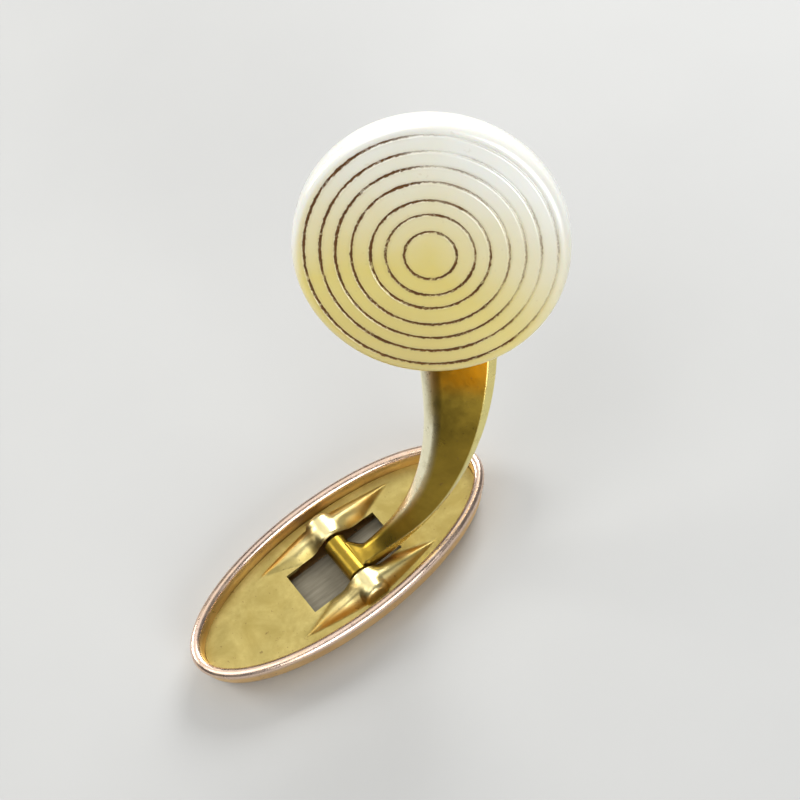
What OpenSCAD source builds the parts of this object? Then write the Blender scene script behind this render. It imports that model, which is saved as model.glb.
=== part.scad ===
// Cufflink: a turned disc on a curved tapering post, with an oval toggle that folds on a pin.
// The origin is the middle of the toggle's flat back. X runs along the toggle, Z points up.

/* [Button] */
// Diameter of the turned disc
button_d = 14.8; // [14:0.1:18]
// Thickness from the crown of the dome to the flat back
button_t = 2.4; // [2:0.1:3.5]
// Radius of the domed face
dome_r = 58; // [40:1:80]
// Width of an engraved ring
groove_w = 0.16; // [0.1:0.02:0.3]
// Depth of an engraved ring
groove_depth = 0.09; // [0.04:0.01:0.2]
// Lean of the disc away from level, in degrees
button_lean = 58; // [50:1:62]
// Compass direction in which the disc leans, in degrees
button_heading = -124; // [-130:1:-110]

/* [Post] */
// Diameter of the round plate behind the disc
plate_d = 7.6; // [7:0.1:11]
// Thickness of the round plate behind the disc
plate_t = 0.35; // [0.3:0.05:0.8]
// Radius of the foot around its pin
foot_r = 0.72; // [0.6:0.02:0.8]
// Width of the foot between the ears
foot_w = 2.74; // [2:0.02:2.76]
// Thickness of the strap at the foot
strap_t_foot = 1.05; // [0.9:0.05:1.3]
// Thickness of the strap at the disc
strap_t_top = 1.2; // [1:0.05:1.5]

/* [Toggle] */
// Length of the toggle along the middle of its rolled rim
rim_l = 20.1; // [16:0.1:24]
// Width of the toggle along the middle of its rolled rim
rim_w = 8.1; // [7.6:0.1:10]
// Radius of the rolled rim
roll_r = 0.32; // [0.25:0.01:0.4]
// Height of the rolled rim's middle above the flat back
roll_z = 2.23; // [2:0.01:2.6]
// Height of the floor plate's upper face
floor_z = 1.5; // [1.4:0.05:1.6]
// Thickness of the floor plate
floor_t = 0.4; // [0.3:0.05:0.45]
// Outer radius of the pressed-up knuckles
knuckle_r = 0.95; // [0.7:0.05:0.95]
// Length of each knuckle along the pin
knuckle_w = 1.8; // [1.2:0.1:1.8]
// Distance between the two knuckles
ear_gap = 2.88; // [2.8:0.02:3.2]

/* [Hinge] */
// Distance of the pin from the middle of the toggle
pin_x = 0.5; // [0:0.1:1]
// Height of the pin above the flat back
pin_z = 1.55; // [1.5:0.05:1.6]
// Radius of the pin
pin_r = 0.3; // [0.25:0.01:0.32]

/* [Hidden] */
$fn = 64;
EPS = 0.02;

// Radii of the engraved rings
ring_radii = [1.38, 2.36, 3.16, 4.17, 5.02, 5.84, 6.7];
dome_steps = 3;
edge_round = 0.55;
edge_steps = 5;
back_bevel = 0.5;
button_r = button_d / 2;
// Crown of the dome, and the way the disc faces
crown = [11.66, 1.05, 22.6];
part_gap = 0.03;

// Curve of the strap from the foot to the disc: columns x, y, z and width of the strap
strap_curve = [
    [0.5, -0.6, 1.7, 1.5],
    [5.7, -0.6, 1.7, 1.3],
    [6.4, -4.8, 10.7, 2.0],
    [10.9, -2.2, 11.3, 4.2],
    [13.3, 3.4, 15.6, 6.8],
    [12.95, 3.0, 21.1, 2.6],
];
X = 0;
Y = 1;
Z = 2;
WIDTH = 3;
strap_rings = 56;
// Way the strap's width runs at the foot and at the disc
width_dir_foot = [0, -1, 0];
width_dir_top = [0.79, -0.59, -0.17];
// Share of the strap's curve over which its width turns from the one way to the other
twist_end = 0.4;
// Section of the strap: columns across and outward, as shares of half the width and thickness
strap_section = [
    [-1.0, -0.2],
    [-0.6, 1.0],
    [0.78, 1.0],
    [1.0, 0.35],
    [1.0, -0.6],
    [0.8, -1.0],
    [-0.8, -1.0],
    [-1.0, -0.7],
];
// Shoulder between the foot and the strap: start and end from the pin, and heights there
shoulder_start = 0.3;
shoulder_l = 1.5;
shoulder_h = 1.05;
shoulder_neck_h = 0.85;
shoulder_slab = 0.1;
// Share of the strap's curve that is drawn: its end lies inside the boss
strap_end = 0.96;
// Boss that joins the strap to the round plate: columns radius and distance behind the disc
boss_outline = [
    [0.0, 2.3],
    [0.8, 2.25],
    [1.4, 1.95],
    [1.8, 1.4],
    [2.2, 0.8],
    [2.8, plate_t],
];
foot_bore_r = pin_r + 0.05;
ear_bore_r = pin_r + 0.01;
pin_l = ear_gap + 2 * knuckle_w - 0.1;

// Window in the floor plate, from its low to its high X, and its width
window_x = [-2.95, 3.45];
window_w = 3.0;
oval_steps = 88;
plate_inset = 0.42;
dish_floor = 0.45;
// Wall of the dish: columns inset from the middle of the rim, and height
dish_outside = [
    [-0.70, 0.00],
    [-0.45, 0.06],
    [-0.20, 0.30],
    [0.00, 0.80],
    [0.12, 1.40],
    [0.20, 1.85],
];
dish_inside = [
    [-0.38, 1.90],
    [-0.38, floor_z - floor_t - EPS],
    [-0.72, floor_z - floor_t - EPS],
    [-0.90, dish_floor],
];
roll_steps = 9;
roll_start = -35;
roll_end = 205;
// Corners of the pressed-up wing beside a knuckle, on the side of +Y:
// columns x from the pin, y from the middle, height above the floor plate's face
wing_corners = [
    [-4.7, 2.45, -0.05],
    [-0.6, 1.6, -0.05],
    [-0.6, 1.75, 0.6],
    [-0.6, 2.35, 0.8],
    [-0.9, 3.2, -0.05],
];
wing_blunt = 0.12;
knuckle_round = 0.3;
// Length of the cut that trims the knuckles flush with the floor plate's underside
knuckle_cut = 2.6;

// Leaf spring: thickness, width, and the outline's heights and half lengths
spring_t = 0.2;
spring_w = 2.9;
spring_flat_x = 3.3;
spring_end_x = 5.7;
spring_z = 0.78;
spring_end_z = 0.69;

function unit(v) = v / norm(v);
function smooth(t) = t * t * (3 - 2 * t);
function choose(n, k) = k == 0 ? 1 : choose(n, k - 1) * (n - k + 1) / k;
function bernstein(n, k, t) = choose(n, k) * pow(t, k) * pow(1 - t, n - k);
function on_curve(rows, t) =
    let (last = len(rows) - 1)
    [for (c = [0:len(rows[0]) - 1]) sum([for (k = [0:last]) rows[k][c] * bernstein(last, k, t)])];
function sum(values, k = 0) = k == len(values) ? 0 : values[k] + sum(values, k + 1);
function steps_of(rows) = [for (k = [1:len(rows) - 1]) rows[k] - rows[k - 1]];
function place(row) = [row[X], row[Y], row[Z]];
function strap_point(t) = place(on_curve(strap_curve, t));
function strap_width(t) = on_curve(strap_curve, t)[WIDTH];
function strap_dir(t) = unit(place(on_curve(steps_of(strap_curve), t)));
function strap_across(t) =
    let (
        along = strap_dir(t),
        turned = smooth(min(1, t / twist_end)),
        raw = width_dir_foot * (1 - turned) + width_dir_top * turned
    )
    unit(raw - along * (raw * along));
function strap_ring(t) =
    let (
        across = strap_across(t),
        out = cross(across, strap_dir(t)),
        half_w = strap_width(t) / 2,
        half_t = (strap_t_foot * (1 - t) + strap_t_top * t) / 2
    )
    [for (s = strap_section) strap_point(t) + across * s[0] * half_w + out * s[1] * half_t];

// A closed solid through rings that all have the same number of points
module lofted(rings) {
    sides = len(rings[0]);
    last = len(rings) - 1;
    polyhedron(
        points = [for (ring = rings) each ring],
        faces = concat(
            [[for (k = [0:sides - 1]) k]],
            [for (r = [0:last - 1], k = [0:sides - 1])
                [r * sides + k, (r + 1) * sides + (k + 1) % sides, r * sides + (k + 1) % sides]],
            [for (r = [0:last - 1], k = [0:sides - 1])
                [r * sides + k, (r + 1) * sides + k, (r + 1) * sides + (k + 1) % sides]],
            [[for (k = [sides - 1:-1:0]) last * sides + k]]
        )
    );
}

function dome_z(r) = sqrt(dome_r * dome_r - r * r) - dome_r;
function groove(r) = [
    [r - groove_w / 2, dome_z(r - groove_w / 2)],
    [r, dome_z(r) - groove_depth],
    [r + groove_w / 2, dome_z(r + groove_w / 2)],
];
function band(r0, r1) =
    [for (k = [1:dome_steps]) let (r = r0 + (r1 - r0) * k / (dome_steps + 1)) [r, dome_z(r)]];
function dome_outline() = [
    for (k = [0:len(ring_radii) - 1])
        each concat(band(k == 0 ? 0 : ring_radii[k - 1], ring_radii[k]), groove(ring_radii[k]))
];
edge_z = dome_z(button_r - edge_round);

module button_profile() {
    polygon(concat(
        [[0, -button_t], [0, 0]],
        dome_outline(),
        [for (k = [0:edge_steps])
            let (a = 90 - 90 * k / edge_steps)
            [button_r - edge_round + edge_round * cos(a), edge_z - edge_round + edge_round * sin(a)]],
        [[button_r, back_bevel - button_t], [button_r - back_bevel, -button_t]]
    ));
}

// Puts a shape that is drawn around Z, with the crown at its origin, where the disc is
module at_button() {
    translate(crown) rotate([0, button_lean, button_heading]) children();
}

module button() {
    color("ivory") at_button() rotate_extrude() button_profile();
}

// A cylinder along the pin, centred on the middle of the toggle
module along_pin(radius, length) {
    translate([pin_x, 0, pin_z]) rotate([90, 0, 0]) cylinder(r = radius, h = length, center = true);
}

module strap() {
    lofted([for (k = [0:strap_rings]) strap_ring(strap_end * k / strap_rings)]);
}

// The shoulder that narrows the foot into the strap
module shoulder() {
    neck_y = strap_curve[0][Y];
    neck_w = strap_curve[0][WIDTH] - 2 * EPS;
    hull() {
        translate([pin_x + shoulder_start, -foot_w / 2, pin_z - shoulder_h / 2])
            cube([shoulder_slab, foot_w, shoulder_h]);
        translate([pin_x + shoulder_l, neck_y - neck_w / 2, pin_z - shoulder_neck_h / 3])
            cube([shoulder_slab, neck_w, shoulder_neck_h]);
    }
}

// The round plate behind the disc, with the boss that takes the strap's end
module back_plate() {
    outline = concat(boss_outline, [[plate_d / 2, plate_t], [plate_d / 2, 0], [0, 0]]);
    at_button() translate([0, 0, -button_t - part_gap])
        rotate_extrude() polygon([for (row = outline) [row[0], -row[1]]]);
}

module post() {
    color("goldenrod") difference() {
        union() {
            strap();
            shoulder();
            along_pin(foot_r, foot_w);
            back_plate();
        }
        along_pin(foot_bore_r, foot_w * 2);
        at_button() translate([0, 0, -button_t - part_gap]) cylinder(d = button_d, h = button_t);
    }
}

module hinge_pin() {
    color("darkgoldenrod") along_pin(pin_r, pin_l);
}

// A point of the oval, moved outward from the middle of the rim
function oval_point(angle, out, z) =
    let (
        a = rim_l / 2,
        b = rim_w / 2,
        away = unit([b * cos(angle), a * sin(angle)])
    )
    [a * cos(angle) + out * away[X], b * sin(angle) + out * away[Y], z];
function oval_ring(out, z) =
    [for (k = [0:oval_steps - 1]) oval_point(360 * k / oval_steps, out, z)];
function roll_outline() = [
    for (k = [0:roll_steps])
        let (a = roll_start + (roll_end - roll_start) * k / roll_steps)
        [roll_r * cos(a), roll_z + roll_r * sin(a)]
];

module toggle_shell() {
    color("goldenrod")
        lofted([for (row = concat(dish_outside, roll_outline(), dish_inside)) oval_ring(row[0], row[1])]);
}

// The two wings that slope from one knuckle to the floor plate, on the side of +Y
module ear_wings() {
    for (side = [-1, 1])
        hull()
            for (row = wing_corners)
                translate([pin_x + side * row[0], row[1], floor_z + row[2]])
                    cube(wing_blunt, center = true);
}

// A barrel around the pin with bevelled ends, on the side of +Y or of -Y
module knuckle(side) {
    half = knuckle_w / 2;
    translate([pin_x, side * (ear_gap / 2 + half), pin_z]) rotate([90, 0, 0])
        rotate_extrude() polygon([
            [0, -half],
            [knuckle_r - knuckle_round, -half],
            [knuckle_r, knuckle_round - half],
            [knuckle_r, half - knuckle_round],
            [knuckle_r - knuckle_round, half],
            [0, half],
        ]);
}

module toggle_plate() {
    color("gold") difference() {
        union() {
            translate([0, 0, floor_z - floor_t]) linear_extrude(floor_t)
                polygon([for (p = oval_ring(-plate_inset, 0)) [p[X], p[Y]]]);
            ear_wings();
            mirror([0, 1, 0]) ear_wings();
            knuckle(1);
            knuckle(-1);
        }
        translate([window_x[0], -window_w / 2, 0])
            cube([window_x[1] - window_x[0], window_w, floor_z + EPS]);
        translate([pin_x - knuckle_cut / 2, -rim_w / 2, 0])
            cube([knuckle_cut, rim_w, floor_z - floor_t]);
        along_pin(ear_bore_r, ear_gap + 2 * knuckle_w + 2 * EPS);
    }
}

module leaf_spring() {
    top = spring_z;
    color("gray") translate([0, spring_w / 2, 0]) rotate([90, 0, 0]) linear_extrude(spring_w)
        polygon([
            [-spring_end_x, spring_end_z],
            [-spring_flat_x, top],
            [spring_flat_x, top],
            [spring_end_x, spring_end_z],
            [spring_end_x, spring_end_z - spring_t],
            [spring_flat_x, top - spring_t],
            [-spring_flat_x, top - spring_t],
            [-spring_end_x, spring_end_z - spring_t],
        ]);
}

button();
post();
hinge_pin();
toggle_plate();
toggle_shell();
leaf_spring();
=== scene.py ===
"""A gilt cufflink: turned cream disc, curved tapering post and folding oval toggle."""

import math

import bpy
from mathutils import Matrix, Vector


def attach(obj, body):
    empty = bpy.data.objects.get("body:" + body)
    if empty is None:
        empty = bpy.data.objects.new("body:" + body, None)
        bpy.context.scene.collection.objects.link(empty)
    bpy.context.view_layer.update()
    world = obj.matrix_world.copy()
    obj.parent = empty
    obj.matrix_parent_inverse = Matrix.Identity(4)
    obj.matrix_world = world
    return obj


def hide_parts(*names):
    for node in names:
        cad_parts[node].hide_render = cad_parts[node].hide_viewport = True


MM = 0.001
# Margin of comparisons, in millimetres
TINY = 0.001

# Toggle, in millimetres, as the frame has it
RIM_L = 20.09
RIM_W = 8.09
ROLL_R = 0.32
ROLL_Z = 2.23
ROLL_START = -28
ROLL_SWEEP = 230
ROLL_STEPS = 16
OVAL_SIDES = 288
FLOOR_Z = 1.5
SHEET_T = 0.28
PLATE_INSET = 0.42
WINDOW_LOW_X = -2.95
WINDOW_HIGH_X = 3.45
WINDOW_HALF_W = 1.5
# Wall of the dish from its flat back up to the roll: columns inset and height
SHELL_WALL = [
    (-0.70, 0),
    (-0.56, 0.015),
    (-0.44, 0.06),
    (-0.31, 0.165),
    (-0.19, 0.31),
    (-0.09, 0.53),
    (0.0, 0.8),
    (0.06, 1.1),
    (0.12, 1.4),
    (0.16, 1.63),
    (0.2, 1.85),
]
# The dish's inside from the roll down to its floor: columns inset and height
SHELL_INSIDE = [
    (-0.37, 1.95),
    (-0.38, 1.6),
    (-0.38, 1.09),
    (-0.72, 1.08),
    (-0.90, 0.45),
]
# The rim's wear: where it starts and over what height it grows; and the rubbed tone the inside has,
# painted light on its shaded wall
RIM_WEAR = (1.75, 0.6)
INSIDE_INSET = -0.36
INSIDE_PAINTED_LIGHT = 0.15

# Knuckles and wings of the ears
KNUCKLE_R = 0.95
KNUCKLE_OUT_Y = 3.24
KNUCKLE_ROUND = 0.42
KNUCKLE_IN_SLOPE = 2.5
KNUCKLE_IN_STEP = 0.1
WING_TIP_X = 4.7
WING_BASE_X = 0.6
WING_TIP_Y = 2.45
WING_RIDGE_Y = 2.3
WING_OUT_Y = 3.2
WING_TOP = 0.82
WING_INNER_SPREAD = 1.6
WING_OUTER_POWER = 0.8
WING_TOP_POWER = 0.9
WING_LIFT = 0.7
WING_LIFT_START = 0.78
WING_MIN_RUN = 0.01
EAR_BLEND = 0.2
EAR_BLEND_RISE = 0.05

# The plate's mesh
PLATE_STEPS = 120
KNUCKLE_STEPS = 36
KNUCKLE_EDGE = 1.001
COLUMN_GAP = 0.004
MID_ROWS = 8
SIDE_ROWS = 46
WINDOW_SHARE = 0.6

# Tones on the ears, a painted amber reflection and painted shade: starts and spans in millimetres, and
# strengths
EAR_WEAR = (0.25, 0.9)
FOLD_LOW = (0.0, 0.12)
FOLD_HIGH = (0.3, 0.35)
PAST_PIN = (0.9, 0.8)
AMBER_REFLECTION_INNER = 0.8
AMBER_REFLECTION_OUTER = 0.5
RIDGE_MARGIN = 0.05
SHADE_NEAR = (0.35, 0.35)
SHADE_FAR = (-1.5, 0.4)
SHADE_LOW = (0.0, 0.15)
SHADE_HIGH = (0.85, 0.3)

# Leaf spring
SPRING_W = 2.9
SPRING_T = 0.2
SPRING_Z = 0.78
SPRING_END_Z = 0.69
SPRING_FLAT_X = 3.3
SPRING_END_X = 5.7
SPRING_STEPS = 24
SPRING_EDGE = 0.03

# Hinge pin
PIN_X = 0.5
PIN_Z = 1.55
PIN_R = 0.3
PIN_HALF_L = 3.19
PIN_CHAMFER = 0.07
PIN_SIDES = 48

# Post
FOOT_R = 0.72
FOOT_HALF_W = 1.37
FOOT_BORE_R = 0.35
FOOT_CHAMFER = 0.06
FOOT_SIDES = 64
STRAP_T_FOOT = 1.05
STRAP_T_TOP = 1.2
STRAP_START = 0.0155
STRAP_END = 0.96
STRAP_RINGS = 150
# Curve of the strap: columns x, y, z and width
STRAP_CURVE = [
    (0.5, -0.6, 1.7, 1.5),
    (5.7, -0.6, 1.7, 1.3),
    (6.4, -4.8, 10.7, 2.0),
    (10.9, -2.2, 11.3, 4.2),
    (13.3, 3.4, 15.6, 6.8),
    (12.95, 3.0, 21.1, 2.6),
]
WIDTH_DIR_FOOT = Vector((0, -1, 0))
WIDTH_DIR_TOP = Vector((0.79, -0.59, -0.17))
TWIST_END = 0.4
# Section of the strap: columns across and outward, as shares of half the width and thickness
STRAP_SECTION = [
    (-1.0, -0.2),
    (-0.6, 1.0),
    (0.78, 1.0),
    (1.0, 0.35),
    (1.0, -0.6),
    (0.8, -1.0),
    (-0.8, -1.0),
    (-1.0, -0.7),
]
CORNER_STEPS = 6
# Length that is rounded off at each corner of the section
CORNER_ROUND = [0.12, 0.32, 0.09, 0.09, 0.09, 0.09, 0.09, 0.09]
CORNER_SHARE = 0.45
# How rubbed the metal is where each corner starts and ends; the pale rubbed bevels also serve as painted
# highlights
CORNER_WEAR_AND_GLINT = [
    (0.9, 1.0),
    (1.0, 0.0),
    (0.0, 0.7),
    (0.7, 0.8),
    (0.8, 0.2),
    (0.2, 0.2),
    (0.2, 0.3),
    (0.3, 0.9),
]
# The corner between the left bevel and the strap's face, whose pale line is partly a painted edge
# highlight
FACE_CORNER = 1
# Along the strap: starts and spans as shares of its curve, and how much changes there
ROOT_THIN = 0.83
ROOT_BLEND = 0.03
SHOULDER_END = 0.055
SHOULDER_WIDEN = 1.2
POLISH_FOOT = 0.1
POLISH = (0.06, 0.16)
BEND_IN = (0.12, 0.14)
BEND_OUT = (0.47, 0.1)
BEND_FADE = 0.85
# Painted amber reflection of the disc on the strap's top
AMBER_REFLECTION_SPAN = (0.575, 0.06)
# Across the strap: its right bevel, from this share of half the width, gets a yellower rubbed colour as a
# painted reflection
REFLECTION_TINT_FROM = 0.7
# Round plate and boss behind the disc: columns radius and distance behind it
BACK_PLATE = [
    (0, 0),
    (3.72, 0),
    (3.8, 0.08),
    (3.8, 0.27),
    (3.72, 0.35),
    (3.1, 0.35),
    (2.72, 0.40),
    (2.45, 0.54),
    (2.2, 0.8),
    (2.0, 1.1),
    (1.8, 1.4),
    (1.63, 1.7),
    (1.38, 1.96),
    (1.1, 2.13),
    (0.8, 2.24),
    (0.4, 2.28),
    (0, 2.29),
]
BACK_PLATE_SIDES = 128

# Disc
DISC_R = 7.395
DISC_T = 2.4
DOME_R = 58.0
DOME_STEPS = 70
EDGE_ROUND = 0.55
EDGE_STEPS = 12
BACK_BEVEL = 0.5
BEVEL_BLEND = 0.05
BEVEL_CORNER = 0.035
BACK_RINGS = (5.6, 3.0)
RING_RADII = [1.38, 2.36, 3.16, 4.17, 5.02, 5.84, 6.7]
GROOVE_W = 0.16
GROOVE_DEPTH = 0.065
GROOVE_STEPS = 4
DISC_SIDES = 224
CROWN = Vector((11.66, 1.05, 22.6))
DISC_LEAN = math.radians(58)
DISC_HEADING = math.radians(-124)
PART_GAP = 0.03
# Directions from the disc's middle: where its rings are rubbed and faded as painted glare, its right, its
# top and its wall with the painted highlight
RUBBED_GLARE_SIDE = Vector((0.986, -0.02, 0.168))
RIGHT_SIDE = Vector((0.79, -0.59, -0.17))
UPPER_SIDE = Vector((0.59, 0.67, 0.46))
LIT_WALL_SIDE = Vector((0.30, 0.81, 0.49))
# How much painted highlight each of them puts on the disc, and over what distances, as shares of its
# radius
PAINTED_LIGHT_UP = 0.9
PAINTED_LIGHT_RIGHT = 0.6
PAINTED_LIGHT_LEFT = 0.1
PAINTED_LIGHT_WALL = 0.75
LEFT_BLEND = 0.4
WALL_BLEND = 0.625
# Where the disc's wall starts, and over how many millimetres it is blended in
WALL_FROM = (6.9, 0.4)

# Camera
VIEW_HEADING = math.radians(-108.81)
VIEW_HEIGHT = math.radians(60.68)
VIEW_ROLL = math.radians(20.0)
VIEW_TARGET = Vector((8.38, 4.06, 6.04))
VIEW_DISTANCE = 140.0
LENS_MM = 107.1
SENSOR_MM = 36.0

# Lights: direction from the object in the camera's axes, distance, size, power and colour
LIT_POINT = Vector((8, 1, 10))
LIGHTS = {
    "key_softbox": ((-0.12, 0.85, 0.52), 330, 340, 0.34, (1.0, 0.99, 0.97)),
    "window_strip": ((0.22, 0.95, 0.18), 280, 130, 0.70, (0.98, 0.99, 1.0)),
    "left_strip": ((-0.92, 0.36, 0.2), 260, 110, 0.36, (1.0, 0.99, 0.96)),
    "front_right_panel": ((0.42, -0.42, 0.80), 330, 190, 0.64, (0.96, 0.98, 1.0)),
    "front_fill": ((-0.45, 0.20, 0.87), 330, 220, 0.36, (1.0, 0.99, 0.97)),
}
WORLD_COLOUR = (0.86, 0.87, 0.88, 1)
WORLD_STRENGTH = 0.18
FLOOR_HALF = 600.0

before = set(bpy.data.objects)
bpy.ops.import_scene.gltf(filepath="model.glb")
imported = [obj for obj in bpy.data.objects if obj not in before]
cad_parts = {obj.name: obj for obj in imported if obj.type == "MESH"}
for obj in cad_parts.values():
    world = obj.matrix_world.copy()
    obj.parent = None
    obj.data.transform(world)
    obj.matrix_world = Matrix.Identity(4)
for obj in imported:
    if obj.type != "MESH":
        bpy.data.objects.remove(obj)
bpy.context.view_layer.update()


def share(value, start, span):
    """How far a value has come from start over span, from 0 to 1."""
    return min(1.0, max(0.0, (value - start) / span))


def rise(value, start, span):
    """The same as a smooth step."""
    t = share(value, start, span)
    return t * t * (3 - 2 * t)


def mesh_piece(name, verts, faces, matrix=None, smooth=True):
    """A mesh object from points in millimetres."""
    mesh = bpy.data.meshes.new(name)
    mesh.from_pydata([tuple(Vector(v) * MM) for v in verts], [], faces)
    if matrix is not None:
        mesh.transform(matrix)
    mesh.validate()
    mesh.polygons.foreach_set("use_smooth", [smooth] * len(mesh.polygons))
    mesh.update()
    piece = bpy.data.objects.new(name, mesh)
    bpy.context.scene.collection.objects.link(piece)
    return piece


def sharpen(piece, angle=32):
    """Keeps hard corners crisp while round faces stay smooth."""
    piece.data.set_sharp_from_angle(angle=math.radians(angle))


def loft_faces(rings, sides, capped=True):
    """Faces through rings of points, each with the same number of sides."""
    faces = []
    for r in range(rings - 1):
        for k in range(sides):
            n = (k + 1) % sides
            faces.append((r * sides + k, r * sides + n, (r + 1) * sides + n, (r + 1) * sides + k))
    if capped:
        faces.append(tuple(reversed(range(sides))))
        faces.append(tuple((rings - 1) * sides + k for k in range(sides)))
    return faces


def circle(radius, z, sides):
    angles = [2 * math.pi * k / sides for k in range(sides)]
    return [(radius * math.cos(a), radius * math.sin(a), z) for a in angles]


def lathe(name, outline, sides, matrix=None):
    """A solid of revolution around Z; the outline starts and ends on the axis."""
    verts = [(0, 0, outline[0][1])]
    for radius, z in outline[1:-1]:
        verts += circle(radius, z, sides)
    verts.append((0, 0, outline[-1][1]))
    last = len(verts) - 1
    faces = [tuple(1 + i for i in face) for face in loft_faces(len(outline) - 2, sides, capped=False)]
    for k in range(sides):
        n = (k + 1) % sides
        faces.append((0, 1 + n, 1 + k))
        faces.append((last, last - sides + k, last - sides + n))
    return mesh_piece(name, verts, faces, matrix)


def set_attribute(piece, name, values):
    """A named number on each point of a piece, read by its material."""
    attribute = piece.data.attributes.new(name, "FLOAT", "POINT")
    attribute.data.foreach_set("value", values)


# Disc

def dome_z(radius):
    return math.sqrt(DOME_R**2 - radius**2) - DOME_R


def groove_drop(radius):
    """How far the surface drops into an engraved ring here."""
    for ring in RING_RADII:
        offset = abs(radius - ring) / (GROOVE_W / 2)
        if offset < 1:
            return GROOVE_DEPTH * (1 - offset**2)
    return 0.0


def disc_outline():
    """The disc's profile from the middle of its back, around the edge and up to the crown."""
    radii = set()
    flat_r = DISC_R - EDGE_ROUND
    for k in range(1, DOME_STEPS):
        radii.add(round(flat_r * k / DOME_STEPS, 4))
    for ring in RING_RADII:
        for k in range(-GROOVE_STEPS, GROOVE_STEPS + 1):
            radii.add(round(ring + GROOVE_W / 2 * k / GROOVE_STEPS, 4))
    outline = [(0, 0)]
    outline += [(r, dome_z(r) - groove_drop(r)) for r in sorted(radii)]
    edge_z = dome_z(flat_r)
    for k in range(EDGE_STEPS + 1):
        a = math.radians(90 - 90 * k / EDGE_STEPS)
        outline.append((flat_r + EDGE_ROUND * math.cos(a), edge_z - EDGE_ROUND * (1 - math.sin(a))))
    bevel_top = -DISC_T + BACK_BEVEL
    bevel_in = DISC_R - BACK_BEVEL
    outline += [
        (DISC_R, bevel_top + BEVEL_BLEND),
        (DISC_R - BEVEL_CORNER, bevel_top - BEVEL_CORNER),
        (bevel_in + BEVEL_CORNER, -DISC_T + BEVEL_CORNER),
        (bevel_in - BEVEL_BLEND, -DISC_T),
    ]
    outline += [(r, -DISC_T) for r in BACK_RINGS] + [(0, -DISC_T)]
    return outline[::-1]


def disc_matrix():
    turn = Matrix.Rotation(DISC_HEADING, 4, "Z") @ Matrix.Rotation(DISC_LEAN, 4, "Y")
    return Matrix.Translation(CROWN * MM) @ turn


def painted_light_at(radius, place):
    """How much painted highlight the disc gets here: more at its top, at both its sides and on its upper
    wall, and below zero, as painted shade, towards its bottom.
    """
    right, up = place.dot(RIGHT_SIDE), place.dot(UPPER_SIDE)
    left = max(0.0, -right) * rise(up, -LEFT_BLEND, LEFT_BLEND)
    wall = rise(radius, *WALL_FROM) * rise(place.dot(LIT_WALL_SIDE), 0, WALL_BLEND)
    return PAINTED_LIGHT_UP * up + PAINTED_LIGHT_RIGHT * max(0.0, right) + PAINTED_LIGHT_LEFT * left + PAINTED_LIGHT_WALL * wall


def make_disc():
    outline = disc_outline()
    piece = lathe("disc", outline, DISC_SIDES, disc_matrix())
    no_ring = DISC_R * 2
    front = [r if z > -EDGE_ROUND * 2 else no_ring for r, z in outline]
    radii = [front[0]] + [r for r in front[1:-1] for _ in range(DISC_SIDES)] + [front[-1]]
    places = [(v.co / MM - CROWN) / DISC_R for v in piece.data.vertices]
    set_attribute(piece, "ring_radius", radii)
    # Side where the wax is rubbed out, which also places the painted glare that fades the rings
    set_attribute(piece, "rubbed", [place.dot(RUBBED_GLARE_SIDE) for place in places])
    set_attribute(piece, "painted_light", [painted_light_at(radius, place) for radius, place in zip(radii, places)])
    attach(piece, "post")
    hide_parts("button")
    return piece


# Post

def bernstein(n, k, t):
    return math.comb(n, k) * t**k * (1 - t) ** (n - k)


def on_curve(rows, t):
    n = len(rows) - 1
    return [sum(row[c] * bernstein(n, k, t) for k, row in enumerate(rows)) for c in range(len(rows[0]))]


def strap_frame(t):
    """Where the strap is at t, with its directions along, across and outward, and its width."""
    row = on_curve(STRAP_CURVE, t)
    steps = [[b - a for a, b in zip(r0, r1)] for r0, r1 in zip(STRAP_CURVE, STRAP_CURVE[1:])]
    along = Vector(on_curve(steps, t)[:3]).normalized()
    raw = WIDTH_DIR_FOOT.lerp(WIDTH_DIR_TOP, rise(t, 0, TWIST_END))
    across = (raw - along * raw.dot(along)).normalized()
    return Vector(row[:3]), across, across.cross(along), row[3]


def rounded_section(half_w, half_t):
    """The strap's section in millimetres with rounded corners, and how rubbed each point is."""
    corners = [Vector((a * half_w, b * half_t)) for a, b in STRAP_SECTION]
    points = []
    rubbed = []
    for k, corner in enumerate(corners):
        before = corners[k - 1] - corner
        after = corners[(k + 1) % len(corners)] - corner
        cut = min(CORNER_ROUND[k], before.length * CORNER_SHARE, after.length * CORNER_SHARE)
        start = corner + before.normalized() * cut
        end = corner + after.normalized() * cut
        wear_start, wear_end = CORNER_WEAR_AND_GLINT[k]
        for step in range(CORNER_STEPS):
            s = step / (CORNER_STEPS - 1)
            points.append(start * (1 - s) ** 2 + corner * 2 * s * (1 - s) + end * s * s)
            rubbed.append(wear_end + (wear_start - wear_end) * (1 - s) ** 2)
    return points, rubbed


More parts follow.
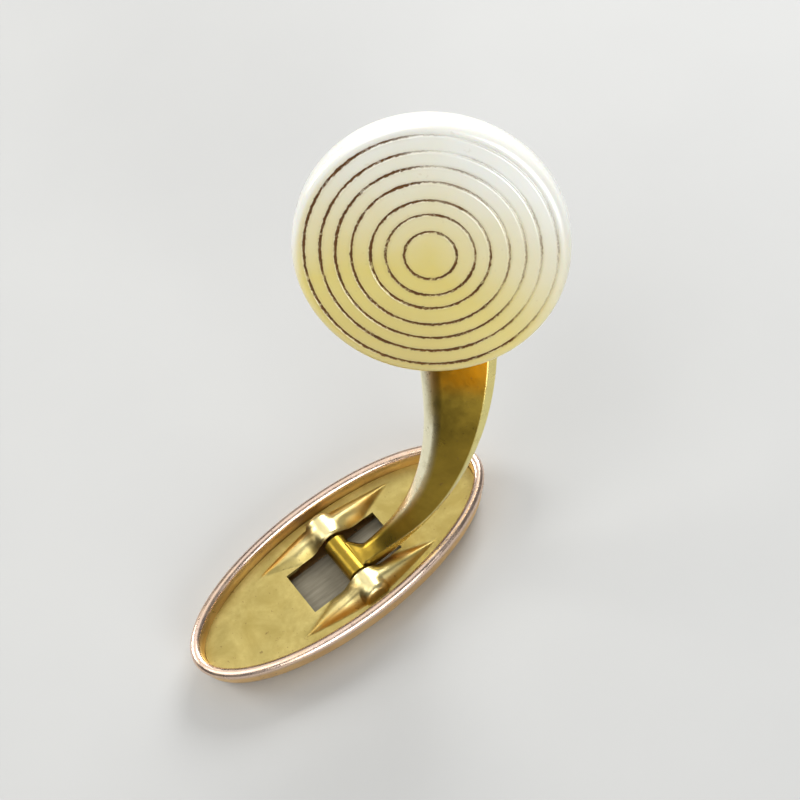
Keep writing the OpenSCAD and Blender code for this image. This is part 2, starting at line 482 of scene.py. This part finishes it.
def make_strap():
    """The curved strap: rubbed bevels that also carry painted highlights, and a painted amber reflection
    of the disc under it.
    """
    verts = []
    wear = []
    amber_reflection = []
    bevel_reflection_tint = []
    for r in range(STRAP_RINGS + 1):
        t = STRAP_START + (STRAP_END - STRAP_START) * r / STRAP_RINGS
        at, across, out, width = strap_frame(t)
        half_t = (STRAP_T_FOOT * (1 - t) + STRAP_T_TOP * t) / 2
        half_t *= ROOT_THIN + (1 - ROOT_THIN) * rise(t, STRAP_START, ROOT_BLEND)
        section, rubbed = rounded_section(width / 2, half_t)
        widen = SHOULDER_WIDEN * (1 - rise(t, 0, SHOULDER_END))
        # Rubbed metal up the strap: real wear that also stands in for painted highlights on its bevels
        polished = POLISH_FOOT + (1 - POLISH_FOOT) * rise(t, *POLISH)
        corner_line_glint = rise(t, *BEND_IN) * (1 - BEND_FADE * rise(t, *BEND_OUT))
        for k, (p, bright) in enumerate(zip(section, rubbed)):
            reach = widen if p.x < 0 else 0.0
            verts.append(at + across * (p.x - reach) + out * p.y)
            wear.append(bright * (corner_line_glint if k // CORNER_STEPS == FACE_CORNER else polished))
            # Painted amber reflection near the disc
            amber_reflection.append(rise(t, *AMBER_REFLECTION_SPAN))
            # Painted reflection tint on the right bevel
            bevel_reflection_tint.append(1.0 if p.x > REFLECTION_TINT_FROM * width / 2 else 0.0)
    sides = len(STRAP_SECTION) * CORNER_STEPS
    piece = mesh_piece("post_strap", verts, loft_faces(STRAP_RINGS + 1, sides))
    set_attribute(piece, "wear", wear)
    set_attribute(piece, "amber_reflection", amber_reflection)
    set_attribute(piece, "bevel_reflection_tint", bevel_reflection_tint)
    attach(piece, "post")
    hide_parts("post")
    return piece


def pin_matrix():
    """From Z to the line of the hinge pin."""
    return Matrix.Translation(Vector((PIN_X, 0, PIN_Z)) * MM) @ Matrix.Rotation(math.pi / 2, 4, "X")


def make_foot():
    """The sleeve that turns on the pin, with chamfered ends."""
    outline = [
        (FOOT_BORE_R, -FOOT_HALF_W),
        (FOOT_R - FOOT_CHAMFER, -FOOT_HALF_W),
        (FOOT_R, -FOOT_HALF_W + FOOT_CHAMFER),
        (FOOT_R, FOOT_HALF_W - FOOT_CHAMFER),
        (FOOT_R - FOOT_CHAMFER, FOOT_HALF_W),
        (FOOT_BORE_R, FOOT_HALF_W),
    ]
    verts = []
    for radius, z in outline:
        verts += circle(radius, z, FOOT_SIDES)
    faces = loft_faces(len(outline), FOOT_SIDES, capped=False)
    last = (len(outline) - 1) * FOOT_SIDES
    for k in range(FOOT_SIDES):
        n = (k + 1) % FOOT_SIDES
        faces.append((last + k, last + n, n, k))
    piece = mesh_piece("post_foot", verts, faces, pin_matrix())
    sharpen(piece)
    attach(piece, "post")
    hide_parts("post")
    return piece


def make_back_plate():
    back = -DISC_T - PART_GAP
    outline = [(radius, back - behind) for radius, behind in reversed(BACK_PLATE)]
    piece = lathe("post_back_plate", outline, BACK_PLATE_SIDES, disc_matrix())
    sharpen(piece)
    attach(piece, "post")
    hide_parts("post")
    return piece


# Toggle

def oval_point(angle, out, z):
    """A point of the oval, moved outward from the middle of the rim."""
    a, b = RIM_L / 2, RIM_W / 2
    away = Vector((b * math.cos(angle), a * math.sin(angle))).normalized()
    return (a * math.cos(angle) + out * away.x, b * math.sin(angle) + out * away.y, z)


def shell_outline():
    """The dish's section from its flat back, over the rolled rim and down to its floor."""
    roll = []
    for k in range(ROLL_STEPS + 1):
        a = math.radians(ROLL_START + ROLL_SWEEP * k / ROLL_STEPS)
        roll.append((ROLL_R * math.cos(a), ROLL_Z + ROLL_R * math.sin(a)))
    return SHELL_WALL + roll + SHELL_INSIDE


def make_shell():
    rows = shell_outline()
    angles = [2 * math.pi * k / OVAL_SIDES for k in range(OVAL_SIDES)]
    verts = [oval_point(a, out, z) for out, z in rows for a in angles]
    piece = mesh_piece("toggle_shell_body", verts, loft_faces(len(rows), OVAL_SIDES))
    wear = []
    for out, z in rows:
        # The whole inside gets a little rubbed tone, painted light to lift its shaded wall
        wear += [share(z, *RIM_WEAR) if out > INSIDE_INSET else INSIDE_PAINTED_LIGHT] * OVAL_SIDES
    set_attribute(piece, "wear", wear)
    sharpen(piece, angle=40)
    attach(piece, "toggle")
    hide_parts("toggle_shell")
    return piece


def wing_height(reach, y):
    """Height of a pressed-up wing: reach runs from 0 at its tip to 1 beside the knuckle."""
    inner = max(WINDOW_HALF_W, WING_TIP_Y - WING_INNER_SPREAD * reach)
    outer = WING_TIP_Y + (WING_OUT_Y - WING_TIP_Y) * reach**WING_OUTER_POWER
    ridge = WING_TIP_Y + (WING_RIDGE_Y - WING_TIP_Y) * reach
    top = WING_TOP * reach**WING_TOP_POWER
    if y >= outer or y <= inner - TINY:
        return 0.0
    if y > ridge:
        return top * math.sin(math.pi / 2 * (outer - y) / (outer - ridge))
    lifted = WING_LIFT * rise(reach, WING_LIFT_START, 1 - WING_LIFT_START)
    inward = share(y, inner, max(ridge - inner, WING_MIN_RUN))
    return top * (lifted + (1 - lifted) * math.sin(math.pi / 2 * inward))


def barrel_height(dx, y):
    """Height of the barrel around the pin, rounded at its ends."""
    end = min(KNUCKLE_OUT_Y - y, (y - WINDOW_HALF_W) * KNUCKLE_IN_SLOPE + KNUCKLE_IN_STEP)
    if end <= 0:
        return 0.0
    radius = KNUCKLE_R
    if end < KNUCKLE_ROUND:
        radius -= KNUCKLE_ROUND - math.sqrt(KNUCKLE_ROUND**2 - (KNUCKLE_ROUND - end) ** 2)
    if abs(dx) >= radius:
        return 0.0
    return PIN_Z - FLOOR_Z + math.sqrt(radius**2 - dx * dx)


def ear_height(x, y):
    """Height of the pressed-up ears above the floor plate, at one place on the plate."""
    y = abs(y)
    if y < WINDOW_HALF_W - TINY:
        return 0.0
    dx = x - PIN_X
    reach = min(1.0, (WING_TIP_X - abs(dx)) / (WING_TIP_X - WING_BASE_X))
    wing = wing_height(reach, y) if reach > 0 else 0.0
    barrel = barrel_height(dx, y)
    if barrel == 0 or wing == 0:
        return max(barrel, wing)
    blend = max(0.0, EAR_BLEND - abs(barrel - wing)) / EAR_BLEND
    return max(barrel, wing) + EAR_BLEND_RISE * blend * blend


def plate_columns():
    """Where the plate's mesh is cut along X, closer together at the knuckles."""
    a = RIM_L / 2 - PLATE_INSET
    columns = {round(-a * math.cos(math.pi * k / PLATE_STEPS), 4) for k in range(1, PLATE_STEPS)}
    for k in range(KNUCKLE_STEPS + 1):
        columns.add(round(PIN_X + KNUCKLE_R * KNUCKLE_EDGE * math.cos(math.pi * k / KNUCKLE_STEPS), 4))
    columns = sorted(columns | {WINDOW_LOW_X, WINDOW_HIGH_X})
    kept = [columns[0]]
    for x in columns[1:]:
        if x - kept[-1] > COLUMN_GAP:
            kept.append(x)
        elif x in (WINDOW_LOW_X, WINDOW_HIGH_X):
            kept[-1] = x
    return kept


def plate_sheet():
    """Points and faces of the floor plate's upper side, with its window and its ears."""
    a, b = RIM_L / 2 - PLATE_INSET, RIM_W / 2 - PLATE_INSET
    columns = plate_columns()
    verts = []
    for x in columns:
        half = b * math.sqrt(max(0.0, 1 - (x / a) ** 2))
        window = min(WINDOW_HALF_W, half * WINDOW_SHARE)
        ys = [-half + (half - window) * k / SIDE_ROWS for k in range(SIDE_ROWS)]
        ys += [-window + 2 * window * k / MID_ROWS for k in range(MID_ROWS + 1)]
        ys += [window + (half - window) * (k + 1) / SIDE_ROWS for k in range(SIDE_ROWS)]
        verts += [(x, y, FLOOR_Z + ear_height(x, y)) for y in ys]
    rows = 2 * SIDE_ROWS + MID_ROWS + 1
    faces = []
    for c in range(len(columns) - 1):
        open_column = columns[c] >= WINDOW_LOW_X and columns[c + 1] <= WINDOW_HIGH_X
        for r in range(rows - 1):
            if open_column and SIDE_ROWS <= r < SIDE_ROWS + MID_ROWS:
                continue
            k = c * rows + r
            faces.append((k, k + rows, k + rows + 1, k + 1))
    return verts, faces


def ear_tones(x, y, z):
    """Painted amber reflection and painted shade on the ears, x from the pin and z above the floor plate.
    """
    fold = rise(z, *FOLD_LOW) * (1 - rise(z, *FOLD_HIGH))
    past_pin = rise(x, *PAST_PIN)
    inner = abs(y) < WING_RIDGE_Y + RIDGE_MARGIN
    # Painted amber reflection on the ears' inner facets past the pin and their outer facets before it
    amber_reflection = fold * (AMBER_REFLECTION_INNER * past_pin if inner else AMBER_REFLECTION_OUTER * (1 - past_pin))
    # Painted shade on the knuckle's side towards negative x, low on the ear
    beside = rise(-x, *SHADE_NEAR) * rise(x, *SHADE_FAR)
    return amber_reflection, beside * rise(z, *SHADE_LOW) * (1 - rise(z, *SHADE_HIGH))


def make_plate():
    piece = mesh_piece("toggle_plate_sheet", *plate_sheet())
    bpy.context.view_layer.objects.active = piece
    solid = piece.modifiers.new("sheet", "SOLIDIFY")
    solid.thickness = SHEET_T * MM
    solid.offset = -1
    bpy.ops.object.modifier_apply(modifier=solid.name)
    sharpen(piece, angle=35)
    places = [v.co / MM - Vector((PIN_X, 0, FLOOR_Z)) for v in piece.data.vertices]
    tones = [ear_tones(*place) for place in places]
    set_attribute(piece, "wear", [share(place.z, *EAR_WEAR) for place in places])
    set_attribute(piece, "amber_reflection", [amber_reflection for amber_reflection, _ in tones])
    set_attribute(piece, "painted_shade", [painted_shade for _, painted_shade in tones])
    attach(piece, "toggle")
    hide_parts("toggle_plate")
    return piece


def strip_ring(x, low, top):
    """The spring's section at x, with blunted edges."""
    half, edge = SPRING_W / 2, SPRING_EDGE
    return [
        (x, -half, low + edge),
        (x, -half + edge, low),
        (x, half - edge, low),
        (x, half, low + edge),
        (x, half, top - edge),
        (x, half - edge, top),
        (x, -half + edge, top),
        (x, -half, top - edge),
    ]


def make_spring():
    """A flat steel strip with its ends bent down."""
    rings = []
    for k in range(SPRING_STEPS + 1):
        x = -SPRING_END_X + 2 * SPRING_END_X * k / SPRING_STEPS
        over = max(0.0, (abs(x) - SPRING_FLAT_X) / (SPRING_END_X - SPRING_FLAT_X))
        top = SPRING_Z - (SPRING_Z - SPRING_END_Z) * over
        rings.append(strip_ring(x, top - SPRING_T, top))
    verts = [point for ring in rings for point in ring]
    piece = mesh_piece("spring_strip", verts, loft_faces(len(rings), len(rings[0])))
    sharpen(piece)
    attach(piece, "toggle")
    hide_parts("leaf_spring")
    return piece


def make_pin():
    outline = [
        (0, -PIN_HALF_L),
        (PIN_R - PIN_CHAMFER, -PIN_HALF_L),
        (PIN_R, -PIN_HALF_L + PIN_CHAMFER),
        (PIN_R, PIN_HALF_L - PIN_CHAMFER),
        (PIN_R - PIN_CHAMFER, PIN_HALF_L),
        (0, PIN_HALF_L),
    ]
    piece = lathe("pin_rod", outline, PIN_SIDES, pin_matrix())
    sharpen(piece)
    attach(piece, "toggle")
    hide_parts("hinge_pin")
    return piece


# Materials

class Nodes:
    """A short way to write a material's nodes."""

    def __init__(self, name):
        self.material = bpy.data.materials.new(name)
        self.material.use_nodes = True
        self.tree = self.material.node_tree
        self.bsdf = self.tree.nodes["Principled BSDF"]

    def node(self, kind, inputs=None, **settings):
        made = self.tree.nodes.new(kind)
        for key, value in settings.items():
            setattr(made, key, value)
        for key, value in (inputs or {}).items():
            self.put(value, made.inputs[key])
        return made

    def put(self, value, socket):
        """Links another node's output to a socket, or sets a constant directly on it."""
        if isinstance(value, bpy.types.NodeSocket):
            self.tree.links.new(value, socket)
        else:
            socket.default_value = value

    def set(self, **values):
        for key, value in values.items():
            self.put(value, self.bsdf.inputs[key.replace("_", " ")])

    def math(self, operation, *values, clamp=False):
        made = self.node("ShaderNodeMath", operation=operation, use_clamp=clamp)
        for k, value in enumerate(values):
            self.put(value, made.inputs[k])
        return made.outputs[0]

    def times(self, *values, clamp=False):
        return self.math("MULTIPLY", *values, clamp=clamp)

    def noise(self, coords, scale, detail=4.0, roughness=0.55, distortion=0.0):
        inputs = {"Vector": coords, "Scale": scale, "Detail": detail, "Roughness": roughness}
        inputs["Distortion"] = distortion
        return self.node("ShaderNodeTexNoise", inputs).outputs["Fac"]

    def ramp(self, value, low, high, start=0.0, end=1.0):
        """A number from start to end as value goes from low to high, held beyond them."""
        inputs = {"Value": value, "From Min": low, "From Max": high, "To Min": start, "To Max": end}
        return self.node("ShaderNodeMapRange", inputs).outputs["Result"]

    def mix(self, factor, first, second):
        """Two colours mixed; the node's sockets 6 and 7 are its colours."""
        made = self.node("ShaderNodeMix", data_type="RGBA")
        self.put(factor, made.inputs[0])
        self.put(first, made.inputs[6])
        self.put(second, made.inputs[7])
        return made.outputs[2]

    def object_coords(self):
        return self.node("ShaderNodeTexCoord").outputs["Object"]

    def attribute(self, name):
        return self.node("ShaderNodeAttribute", attribute_name=name).outputs["Fac"]

    def bump(self, height, strength, distance):
        inputs = {"Height": height, "Strength": strength, "Distance": distance}
        self.put(self.node("ShaderNodeBump", inputs).outputs["Normal"], self.bsdf.inputs["Normal"])


def nearest_ring(n, radius):
    """Distance from the nearest engraved ring, in millimetres."""
    near = None
    for ring in RING_RADII:
        away = n.math("ABSOLUTE", n.math("SUBTRACT", radius, ring))
        near = away if near is None else n.math("MINIMUM", near, away)
    return near


def cream_material():
    """Glossy cream with a painted highlight at the top and sides and painted shade lower down, and dark
    wax in the engraved rings where it isn't rubbed out.
    """
    n = Nodes("cream_turned_disc")
    coords = n.object_coords()

    # Wax: a line of uneven width along each ring, thinner and broken on the rubbed side, where the fading
    # also stands in for painted glare
    rough = n.times(n.math("SUBTRACT", n.noise(coords, 4200.0, 4.0, 0.65), 0.5), 0.19)
    near = nearest_ring(n, n.math("ADD", n.attribute("ring_radius"), rough))
    rubbed = n.math("ADD", n.attribute("rubbed"), n.ramp(n.noise(coords, 300.0, 3.0), 0.3, 0.7, -0.3, 0.3))
    kept = n.ramp(rubbed, 0.0, 0.75, 1.0, 0.0)
    thick = n.times(n.ramp(n.noise(coords, 520.0, 4.0, 0.6), 0.3, 0.7, 0.025, 0.075), kept)
    soft = n.math("DIVIDE", n.math("SUBTRACT", near, thick), 0.045)
    line = n.math("SUBTRACT", 1.0, soft, clamp=True)
    gaps = n.ramp(n.noise(coords, 2400.0, 5.0, 0.75), 0.33, 0.45, 0.25, 1.0)
    fill = n.times(n.times(line, gaps), n.ramp(kept, 0.0, 0.8, 0.12, 1.0), clamp=True)
    ink = n.mix(n.noise(coords, 1800.0, 3.0), (0.050, 0.018, 0.003, 1), (0.20, 0.08, 0.014, 1))

    # Body: clouds, grain and flecks, a painted highlight at the top, sides and upper wall, painted shade
    # towards the bottom, and a stain beside the rings
    cloud = n.ramp(n.noise(coords, 150.0, 4.0, 0.5), 0.3, 0.7)
    body = n.mix(cloud, (0.76, 0.62, 0.16, 1), (0.78, 0.65, 0.20, 1))
    grain = n.ramp(n.noise(coords, 1500.0, 5.0, 0.7), 0.35, 0.7)
    body = n.mix(n.times(grain, 0.16), body, (0.70, 0.60, 0.28, 1))
    painted_light_noisy = n.math("ADD", n.attribute("painted_light"), n.ramp(n.noise(coords, 200.0, 3.0), 0.3, 0.7, -0.08, 0.08))
    # Painted highlight: the body turns near white where the painted light is strong
    body = n.mix(n.ramp(painted_light_noisy, -0.08, 0.75, 0.0, 0.9), body, (0.85, 0.86, 0.83, 1))
    flecks = n.ramp(n.noise(coords, 2600.0, 2.0), 0.68, 0.74)
    body = n.mix(n.times(flecks, 0.15), body, (0.42, 0.30, 0.12, 1))
    # Painted shade: the body turns deep brown where the painted light goes below zero, towards the bottom
    body = n.mix(n.ramp(painted_light_noisy, -0.2, -0.8, 0.0, 0.55), body, (0.52, 0.38, 0.08, 1))
    stain = n.times(n.math("SUBTRACT", 1.0, n.math("DIVIDE", near, 0.26), clamp=True), kept)
    body = n.mix(n.times(stain, 0.3), body, (0.42, 0.28, 0.09, 1))
    n.set(Base_Color=n.mix(fill, body, ink))

    # Gloss: a smeared coat over the body, none over the wax
    smear = n.ramp(n.noise(coords, 500.0, 6.0, 0.6), 0.3, 0.75, 0.32, 0.42)
    n.set(
        Roughness=n.math("ADD", smear, n.times(fill, 0.4)),
        Specular_IOR_Level=0.4,
        IOR=1.5,
        Coat_Weight=n.math("SUBTRACT", 1.0, fill, clamp=True),
        Coat_Roughness=0.28,
        Coat_IOR=2.1,
        Subsurface_Weight=0.2,
        Subsurface_Radius=(0.9, 0.6, 0.3),
        Subsurface_Scale=0.0006,
    )
    fine = n.times(n.noise(coords, 5200.0, 2.0), 0.25)
    n.bump(n.math("ADD", n.noise(coords, 900.0, 4.0), fine), 0.10, 0.00005)
    return n.material


def gilt_material(name, base, dark, rubbed, roughness, wear_amount):
    """Worn gilding: a mottled tone, a painted amber reflection and painted shade in places, and paler
    metal where it is rubbed, which on the strap's bevels is partly a painted highlight.
    """
    n = Nodes(name)
    coords = n.object_coords()
    mottle = n.ramp(n.noise(coords, 420.0, 6.0, 0.62, 0.6), 0.34, 0.68)
    patch = n.ramp(n.noise(coords, 1300.0, 5.0, 0.7), 0.42, 0.66)
    tone = n.mix(mottle, base, dark)
    tone = n.mix(n.times(patch, 0.5), tone, dark)
    # Painted amber reflection: an orange tone where the amber reflection value is set
    amber = n.ramp(n.noise(coords, 700.0, 4.0), 0.3, 0.6, 0.35, 1.0)
    tone = n.mix(n.times(n.attribute("amber_reflection"), amber), tone, (0.50, 0.205, 0.007, 1))
    # Rubbed metal: real wear, and on the strap's bevels partly a painted highlight
    rub = n.ramp(n.noise(coords, 950.0, 5.0, 0.65), 0.30, 0.52, 0.72, 1.0)
    worn = n.times(n.times(n.attribute("wear"), rub), wear_amount, clamp=True)
    # Painted reflection: the rubbed colour turns yellower on the strap's right bevel
    rubbed = n.mix(n.attribute("bevel_reflection_tint"), rubbed, (0.95, 0.86, 0.36, 1))
    # Painted shade: dark brown laid where the painted shade value is set
    painted_shade_noise = n.ramp(n.noise(coords, 1200.0, 4.0), 0.3, 0.6, 0.5, 0.9)
    painted_shade = n.times(n.attribute("painted_shade"), painted_shade_noise)
    tone = n.mix(painted_shade, n.mix(worn, tone, rubbed), (0.15, 0.10, 0.03, 1))
    pits = n.ramp(n.noise(coords, 3800.0, 2.0, 0.5), 0.68, 0.74)
    tone = n.mix(n.times(pits, 0.5), tone, (0.16, 0.09, 0.04, 1))
    smear = n.ramp(n.noise(coords, 800.0, 6.0, 0.7), 0.3, 0.72, roughness, roughness + 0.18)
    n.set(
        Base_Color=tone,
        Metallic=1.0,
        Roughness=n.math("SUBTRACT", smear, n.times(worn, roughness * 0.5), clamp=True),
    )
    scratches = n.noise(coords, 2200.0, 4.0, 0.7)
    n.bump(n.math("ADD", n.times(scratches, 0.5), n.noise(coords, 600.0, 4.0)), 0.22, 0.00006)
    return n.material


def steel_material():
    """Grey steel with drawn lines along the strip and a little rust."""
    n = Nodes("grey_spring_steel")
    coords = n.object_coords()
    drawn = n.node("ShaderNodeMapping", {"Vector": coords, "Scale": (0.12, 1, 1)}).outputs["Vector"]
    lines = n.noise(drawn, 3600.0, 4.0, 0.6)
    tone = n.mix(n.ramp(lines, 0.3, 0.7), (0.155, 0.138, 0.10, 1), (0.25, 0.225, 0.17, 1))
    rust = n.ramp(n.noise(coords, 900.0, 5.0, 0.7), 0.60, 0.75)
    n.set(
        Base_Color=n.mix(n.times(rust, 0.5), tone, (0.22, 0.14, 0.08, 1)),
        Metallic=0.85,
        Roughness=n.ramp(lines, 0.2, 0.8, 0.48, 0.62),
    )
    n.bump(lines, 0.15, 0.00004)
    return n.material


def floor_material():
    n = Nodes("pale_floor")
    soft = n.noise(n.object_coords(), 60.0, 4.0)
    n.set(Base_Color=n.mix(soft, (0.44, 0.44, 0.435, 1), (0.48, 0.48, 0.47, 1)), Roughness=0.6)
    return n.material


def paint(piece, material):
    piece.data.materials.clear()
    piece.data.materials.append(material)


# Stage

def make_floor():
    size = FLOOR_HALF
    verts = [(-size, -size, 0), (size, -size, 0), (size, size, 0), (-size, size, 0)]
    floor = mesh_piece("floor", verts, [(0, 1, 2, 3)], smooth=False)
    paint(floor, floor_material())


def view_axes():
    """The camera's right, up and backward directions, rolled so that the toggle climbs to the right."""
    level = math.cos(VIEW_HEIGHT)
    back = Vector((level * math.cos(VIEW_HEADING), level * math.sin(VIEW_HEADING), math.sin(VIEW_HEIGHT)))
    right = Vector((-math.sin(VIEW_HEADING), math.cos(VIEW_HEADING), 0))
    up = back.cross(right)
    cos, sin = math.cos(VIEW_ROLL), math.sin(VIEW_ROLL)
    return right * cos - up * sin, right * sin + up * cos, back


def make_camera():
    data = bpy.data.cameras.new("camera")
    data.sensor_width = SENSOR_MM
    data.lens = LENS_MM
    data.clip_start = 0.01
    data.clip_end = 10.0
    camera = bpy.data.objects.new("camera", data)
    right, up, back = view_axes()
    turn = Matrix((right, up, back)).transposed().to_4x4()
    camera.matrix_world = Matrix.Translation((VIEW_TARGET + back * VIEW_DISTANCE) * MM) @ turn
    bpy.context.scene.collection.objects.link(camera)
    bpy.context.scene.camera = camera
    bpy.context.scene.view_settings.view_transform = "Standard"


def add_light(name, towards, distance, size, power, colour):
    """A soft square light that faces the object."""
    right, up, back = view_axes()
    direction = (right * towards[0] + up * towards[1] + back * towards[2]).normalized()
    data = bpy.data.lights.new(name, "AREA")
    data.shape = "SQUARE"
    data.size = size * MM
    data.energy = power
    data.color = colour
    light = bpy.data.objects.new(name, data)
    turn = direction.to_track_quat("Z", "Y").to_matrix().to_4x4()
    light.matrix_world = Matrix.Translation((LIT_POINT + direction * distance) * MM) @ turn
    bpy.context.scene.collection.objects.link(light)


def make_lights():
    for name, settings in LIGHTS.items():
        add_light(name, *settings)
    world = bpy.data.worlds.new("studio")
    world.use_nodes = True
    background = world.node_tree.nodes["Background"]
    background.inputs["Color"].default_value = WORLD_COLOUR
    background.inputs["Strength"].default_value = WORLD_STRENGTH
    bpy.context.scene.world = world


make_camera()
paint(make_disc(), cream_material())
gilt_post = gilt_material(
    "gilt_worn_post",
    base=(0.36, 0.24, 0.032, 1),
    dark=(0.25, 0.165, 0.022, 1),
    rubbed=(0.98, 0.93, 0.68, 1),
    roughness=0.25,
    wear_amount=1.15,
)
for part in (make_strap(), make_foot(), make_back_plate()):
    paint(part, gilt_post)
gilt_shell = gilt_material(
    "gilt_worn_shell",
    base=(0.92, 0.65, 0.30, 1),
    dark=(0.80, 0.52, 0.22, 1),
    rubbed=(0.77, 0.58, 0.47, 1),
    roughness=0.34,
    wear_amount=1.0,
)
paint(make_shell(), gilt_shell)
gilt_plate = gilt_material(
    "gilt_satin_plate",
    base=(0.54, 0.44, 0.165, 1),
    dark=(0.36, 0.28, 0.085, 1),
    rubbed=(0.93, 0.83, 0.46, 1),
    roughness=0.36,
    wear_amount=0.8,
)
paint(make_plate(), gilt_plate)
gilt_pin = gilt_material(
    "gilt_dull_pin",
    base=(0.66, 0.46, 0.20, 1),
    dark=(0.40, 0.26, 0.10, 1),
    rubbed=(0.85, 0.60, 0.40, 1),
    roughness=0.28,
    wear_amount=0.3,
)
paint(make_pin(), gilt_pin)
paint(make_spring(), steel_material())
make_floor()
make_lights()
